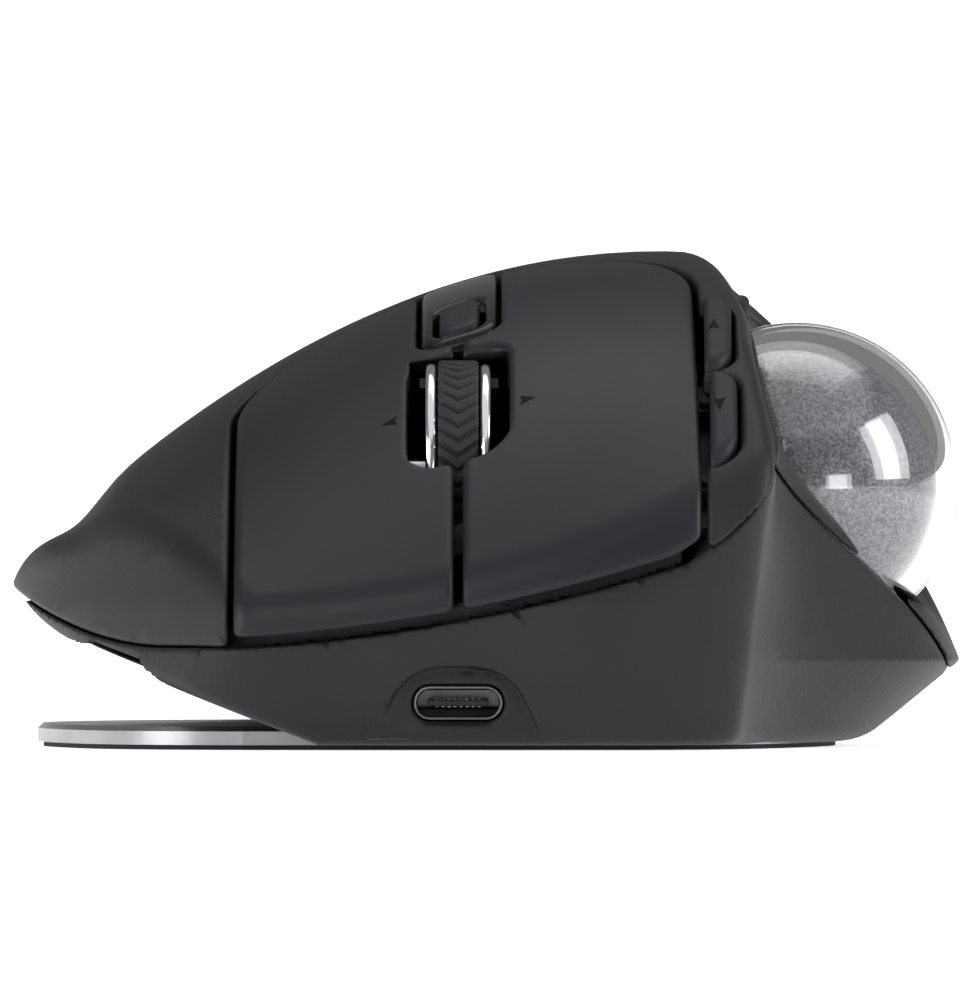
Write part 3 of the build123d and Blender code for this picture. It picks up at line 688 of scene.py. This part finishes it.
# ---------------------------------------------------------------- casing and keys
PIECES = [                   # name, field, box, grid step, thinning, body, finish, CAD node
    ("lower_casing", lower_shell, (-51, -68, -1, 52, 68, 47), 0.4, 0.01,
     "mouse_body", "shell_grain", "lower_shell"),
    ("upper_casing", upper_shell, (-52, -69, 9, 46, 68, 53), 0.38, 0.01,
     "mouse_body", "shell_fine", "upper_shell"),
    ("thumb_skin", thumb_panel, (22, -62, -1, 52, 40, 50), 0.32, 0.01,
     "mouse_body", "panel_fine", "thumb_panel"),
    ("left_key", left_button, (-4, -69, 10, 24, -8, 52), 0.28, 0.005,
     "left_button", "button_smooth", "left_button"),
    ("right_key", right_button, (-28, -69, 10, -2, -8, 50), 0.28, 0.005,
     "right_button", "button_smooth", "right_button"),
    ("strip_glass", device_panel, (-8, -33, 36, 3, -5, 50), 0.16, 0.05,
     "mouse_body", "gloss_strip", "device_panel"),
    ("mode_key", device_button, (-6, -31, 37, 1, -20, 49), 0.12, 0.05,
     "device_button", "button_smooth", "device_button"),
    ("side_key_front", forward_button, (21, -47, 34, 27, -29, 49), 0.14, 0.05,
     "forward_button", "shell_fine", "forward_button"),
    ("side_key_rear", back_button, (21, -61, 24, 27, -45, 42), 0.14, 0.05,
     "back_button", "shell_fine", "back_button"),
    ("precision_key", precision_button, (21, -20, 42, 29, -14, 48), 0.12, 0.05,
     "precision_button", "shell_fine", "precision_button"),
]
for name, field, box, cell, thin, body, slot, node in PIECES:
    dress(carve(name, field, box, cell, thin), body, slot, node)


# ---------------------------------------------------------------- wheel
TREADS = 44


def about_wheel(x, y, z):
    """Distance along the axle from the wheel's middle, and radius from the axle."""
    return np.abs(x - WHEEL[0]), np.sqrt((y - WHEEL[1]) ** 2 + (z - WHEEL[2]) ** 2)


def tyre(x, y, z):
    """Rubber band with V-shaped grooves."""
    across, radius = about_wheel(x, y, z)
    turn = np.arctan2(z - WHEEL[2], y - WHEEL[1]) / (2 * pi)
    wave = np.cos(2 * pi * (turn * TREADS + 0.42 * across)) * 0.5 + 0.5
    tread = radius - WHEEL_R + 0.42 * wave ** 4
    return np.maximum(meet(tread, across - 2.1, 0.5), 9.6 - radius)


def hub(x, y, z):
    """Two polished rims on a web with five openings."""
    across, radius = about_wheel(x, y, z)
    rims = oblong(radius, across, 8.8, 11.15, 2.2, 3.38, 0.5)
    web = np.maximum(radius - 9.55, across - 1.2)
    angle = np.arctan2(z - WHEEL[2], y - WHEEL[1])
    sector = (angle * 5 / (2 * pi)) % 1.0 - 0.5
    window = np.sqrt((radius - 6.0) ** 2 + (sector * 2 * pi / 5 * radius) ** 2) - 1.7
    body = join(np.minimum(cut(web, window, 0.3), np.maximum(radius - 2.6, across - 3.3)), rims, 0.4)
    body = join(body, oblong(radius, across, 8.8, 9.5, -3.3, 3.3, 0.3), 0.2)
    return cut(body, radius - 1.3)


around_wheel = (WHEEL[0] - 3.6, WHEEL[1] - 12, WHEEL[2] - 12, WHEEL[0] + 3.6, WHEEL[1] + 12, WHEEL[2] + 12)
dress(carve("wheel_tread", tyre, around_wheel, 0.16, 0.0), "wheel", "wheel_rubber", "wheel_tyre")
dress(carve("wheel_rims", hub, around_wheel, 0.2, 0.02), "wheel", "polished", "wheel_hub")


# ---------------------------------------------------------------- ball
def globe(name, *radii):
    """Sphere about the ball's centre; a second radius makes it a hollow layer."""
    form = bmesh.new()
    for count, radius in enumerate(radii):
        made = bmesh.ops.create_icosphere(form, subdivisions=5, radius=radius * MM,
                                          matrix=Matrix.Translation(Vector(BALL) * MM))
        if count:
            faces = {face for vert in made["verts"] for face in vert.link_faces}
            bmesh.ops.reverse_faces(form, faces=list(faces))
    mesh = bpy.data.meshes.new(name)
    form.to_mesh(mesh)
    form.free()
    mesh.polygons.foreach_set("use_smooth", [True] * len(mesh.polygons))
    return place(name, mesh)


dress(globe("ball_clear_layer", BALL_R, CORE_R + 0.05), "ball_shell", "clear_ball", "ball_shell")
dress(globe("ball_flake_core", CORE_R), "ball_core", "ball_metallic", "ball_core")


# ---------------------------------------------------------------- charging port
def port_tube(x, y, z):
    outer = oblong(x, z, MID_X - 4.6, MID_X + 4.6, PORT_Z - 1.78, PORT_Z + 1.78, 1.75)
    inner = oblong(x, z, MID_X - 4.25, MID_X + 4.25, PORT_Z - 1.43, PORT_Z + 1.43, 1.4)
    tube = meet(outer, -np.maximum(inner, y + 54.4), 0.15)
    return meet(tube, np.abs(y + 57.0) - 3.3, 0.15)


def port_tongue(x, y, z):
    blade = oblong(x, z, MID_X - 3.1, MID_X + 3.1, PORT_Z - 0.38, PORT_Z + 0.38, 0.12)
    return meet(blade, np.abs(y + 57.0) - 2.5, 0.3)


def port_contacts(x, y, z):
    """Eight pads along each face of the tongue."""
    lane = (x - MID_X) / 0.62
    beside = np.abs(lane - np.floor(lane) - 0.5) * 0.62 - 0.16
    pads = np.maximum(beside, np.abs(x - MID_X) - 2.45)
    pads = np.maximum(pads, np.abs(np.abs(z - PORT_Z) - 0.38) - 0.05)
    return np.maximum(pads, np.abs(y + 57.6) - 1.4)


around_port = (MID_X - 5, -60.6, PORT_Z - 2, MID_X + 5, -53.4, PORT_Z + 2)
dress(carve("port_sleeve", port_tube, around_port, 0.12, 0.02), "mouse_body", "steel", "usb_shell",
      finish=plastic("port_steel", (0.10, 0.10, 0.105), (0.14, 0.14, 0.145), 0.2, 0.003, 0.3, metal=1.0))
tongue = dress(carve("port_blade", port_tongue, around_port, 0.1, 0.02), "mouse_body", "chip_black",
               "usb_tongue")
brass = plastic("contact_gold", (0.72, 0.5, 0.2), (0.8, 0.58, 0.26), 0.1, 0.002, 0.25, metal=1.0)
dress(carve("port_pads", port_contacts, around_port, 0.06, 0.02), "mouse_body", "polished", finish=brass)


# ---------------------------------------------------------------- pressed-in marks
def depth_at(x, z):
    """Y at which the front slope of the body is z high."""
    near, far = float(front_line(x)) + 0.5, CREST_Y
    for _ in range(40):
        middle = (near + far) / 2
        if float(top(np.float64(x), np.float64(middle))) < z:
            near = middle
        else:
            far = middle
    return near


def mark(name, body, x, z, heading, size, lift):
    """Small solid triangle lying on the surface; heading turns it in plan."""
    y = depth_at(x, z)
    form = bmesh.new()
    rings = []
    for level in (-0.12, 0.035):
        ring = []
        for angle, reach in ((0, 1.0), (140, 0.95), (180, 0.55), (220, 0.95)):
            turn = heading + radians(angle)
            u, v = x + size * reach * cos(turn), y + size * reach * sin(turn) * 1.25
            ring.append(form.verts.new(Vector((u, v, float(top(u, v)) + lift + level)) * MM))
        rings.append(ring)
    form.faces.new(rings[1])
    form.faces.new(rings[0][::-1])
    for i in range(4):
        j = (i + 1) % 4
        form.faces.new((rings[0][i], rings[0][j], rings[1][j], rings[1][i]))
    mesh = bpy.data.meshes.new(name)
    form.to_mesh(mesh)
    form.free()
    return dress(place(name, mesh), body, "pad_rubber", finish=ink)


ink = plastic("mark_ink", (0.001, 0.001, 0.001), (0.002, 0.002, 0.002), 0.2, 0.002, 0.9)
mark("mark_tilt_right", "right_button", -9.9, 33.6, pi, 0.9, 0.0)
mark("mark_tilt_left", "left_button", 4.1, 36.0, 0.0, 0.9, 0.0)
mark("mark_forward", "forward_button", 23.4, 42.9, pi / 2, 0.9, 0.86)
mark("mark_back", "back_button", 23.9, 34.6, -pi / 2, 0.9, 0.94)


# ---------------------------------------------------------------- stage, light and camera
def studio_sheet():
    """Pale floor that sweeps up into a backdrop."""
    form = bmesh.new()
    profile = [(-8.0, -2e-5), (0.9, -2e-5)]
    profile += [(0.9 + 0.1 * sin(radians(a)), 0.1 - 0.1 * cos(radians(a))) for a in range(10, 91, 10)]
    profile += [(1.0, 0.14)]
    rows = [[form.verts.new((x, y, z)) for x in (-8.0, 8.0)] for y, z in profile]
    for low, high in zip(rows, rows[1:]):
        form.faces.new((low[0], low[1], high[1], high[0]))
    mesh = bpy.data.meshes.new("studio_sheet")
    form.to_mesh(mesh)
    form.free()
    mesh.polygons.foreach_set("use_smooth", [True] * len(mesh.polygons))
    sweep = place("studio_sheet", mesh)
    mat = plastic("studio_white", (0.80, 0.80, 0.80), (0.82, 0.82, 0.82), 30.0, 0.001, 0.9)
    shader = mat.node_tree.nodes["Principled BSDF"]
    shader.inputs["Emission Color"].default_value = (1, 1, 1, 1)
    shader.inputs["Emission Strength"].default_value = 0.7
    mesh.materials.append(mat)


def softbox(name, place_at, aim, width, height, power, tint=(1, 1, 1)):
    light = bpy.data.lights.new(name, "AREA")
    light.shape = "RECTANGLE"
    light.size = width
    light.size_y = height
    light.energy = power
    light.color = tint
    obj = bpy.data.objects.new(name, light)
    obj.location = place_at
    obj.rotation_euler = (Vector(aim) - Vector(place_at)).to_track_quat("-Z", "Y").to_euler()
    bpy.context.scene.collection.objects.link(obj)


PICTURE_MM = 103.6           # height of the picture at the lips of the keys
CAMERA_Y = -3000.0


def camera():
    lens = bpy.data.cameras.new("camera")
    lens.sensor_width = 36.0
    lens.lens = 36.0 * (-20.0 - CAMERA_Y) / PICTURE_MM
    lens.clip_start, lens.clip_end = 0.1, 20.0
    obj = bpy.data.objects.new("camera", lens)
    obj.location = (0, CAMERA_Y * MM, 25.64 * MM)
    obj.rotation_euler = (pi / 2, 0, 0)
    bpy.context.scene.collection.objects.link(obj)
    bpy.context.scene.camera = obj


studio_sheet()
sky = bpy.data.lights.new("overhead", "SUN")
sky.energy = 0.9
sky.angle = 1.5
sky_place = bpy.data.objects.new("overhead", sky)
sky_place.rotation_euler = (radians(12), 0, 0)
bpy.context.scene.collection.objects.link(sky_place)
softbox("front_fill", (-0.35, -0.8, 0.35), (0, 0, 0.02), 0.5, 0.4, 2.2)
softbox("ball_light", (0.42, -0.66, 0.05), (0.03, 0, 0.03), 0.22, 0.16, 0.8)
softbox("top_box", (0.05, 0.12, 0.5), (0.02, 0, 0.03), 0.45, 0.3, 0.55)
softbox("rim_right", (0.45, -0.12, 0.2), (0.03, 0, 0.02), 0.2, 0.3, 1.5)
softbox("rim_left", (-0.5, -0.15, 0.12), (-0.03, 0, 0.02), 0.3, 0.2, 1.0)
world = bpy.data.worlds.new("world")
bpy.context.scene.world = world
world.use_nodes = True
world.node_tree.nodes["Background"].inputs["Color"].default_value = (1, 1, 1, 1)
world.node_tree.nodes["Background"].inputs["Strength"].default_value = 0.2
bpy.context.scene.view_settings.view_transform = "Standard"
camera()
